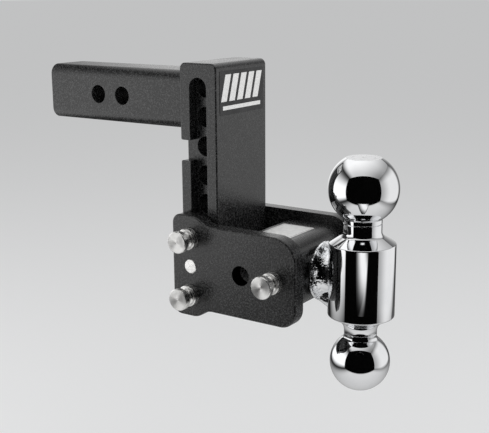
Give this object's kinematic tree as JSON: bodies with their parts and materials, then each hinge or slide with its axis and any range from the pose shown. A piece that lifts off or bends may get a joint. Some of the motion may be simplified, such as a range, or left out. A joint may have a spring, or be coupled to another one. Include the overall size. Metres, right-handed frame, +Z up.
{
  "type": "adjustable ball mount",
  "caption": "Drop ball mount for a square hitch receiver: rounded shank, slotted height column, pinned side plates and a chromed two-ball unit on a stem, with pull pins.",
  "frame": {"origin": "centre of the receiver pin bore nearer the vehicle, on the shank's centreline", "axes": "+X along the shank towards the trailer, +Y along the receiver pin bore to the vehicle's left, +Z up"},
  "size_m": [0.3527, 0.1358, 0.2711],
  "materials": {
    "powder_coat": "fine-texture satin black powder coat",
    "chrome": "polished chrome plate",
    "stainless": "turned stainless steel",
    "rubber_ring": "matte",
    "printed_label": "black film with a plain light mark",
    "foil_label": "satin foil"
  },
  "bodies": {
    "shank_column": {"receiver_shank": "powder_coat", "shank_weld": "powder_coat", "column": "powder_coat", "column_label": "printed_label"},
    "ball_head": {"near_side_plate": "powder_coat", "far_side_plate": "powder_coat", "near_guide_stub": "stainless", "far_guide_stub": "stainless", "housing_wrap": "powder_coat", "housing_welds": "powder_coat", "stem_socket": "powder_coat", "head_label": "foil_label", "ball_stem": "chrome", "ball_drum": "chrome", "top_ball": "chrome", "bottom_ball": "chrome"},
    "upper_pin": {"upper_column_pin": "stainless", "upper_column_pin_ring": "rubber_ring"},
    "lower_pin": {"lower_column_pin": "stainless", "lower_column_pin_ring": "rubber_ring"},
    "ball_retaining_pin": {"ball_pin": "stainless", "ball_pin_ring": "rubber_ring"}
  },
  "joints": [
    {"name": "head_height", "type": "slide", "parent": "shank_column", "child": "ball_head", "axis": [0, 0, 1], "range_m": [-0.0262, 0.127]},
    {"name": "upper_pin_pull", "type": "slide", "parent": "ball_head", "child": "upper_pin", "axis": [0, -1, 0], "range_m": [0, 0.125], "deforming": ["upper_column_pin_ring"]},
    {"name": "lower_pin_pull", "type": "slide", "parent": "ball_head", "child": "lower_pin", "axis": [0, -1, 0], "range_m": [0, 0.125], "deforming": ["lower_column_pin_ring"]},
    {"name": "ball_pin_pull", "type": "slide", "parent": "ball_head", "child": "ball_retaining_pin", "axis": [0, -1, 0], "range_m": [0, 0.125], "deforming": ["ball_pin_ring"]}
  ]
}
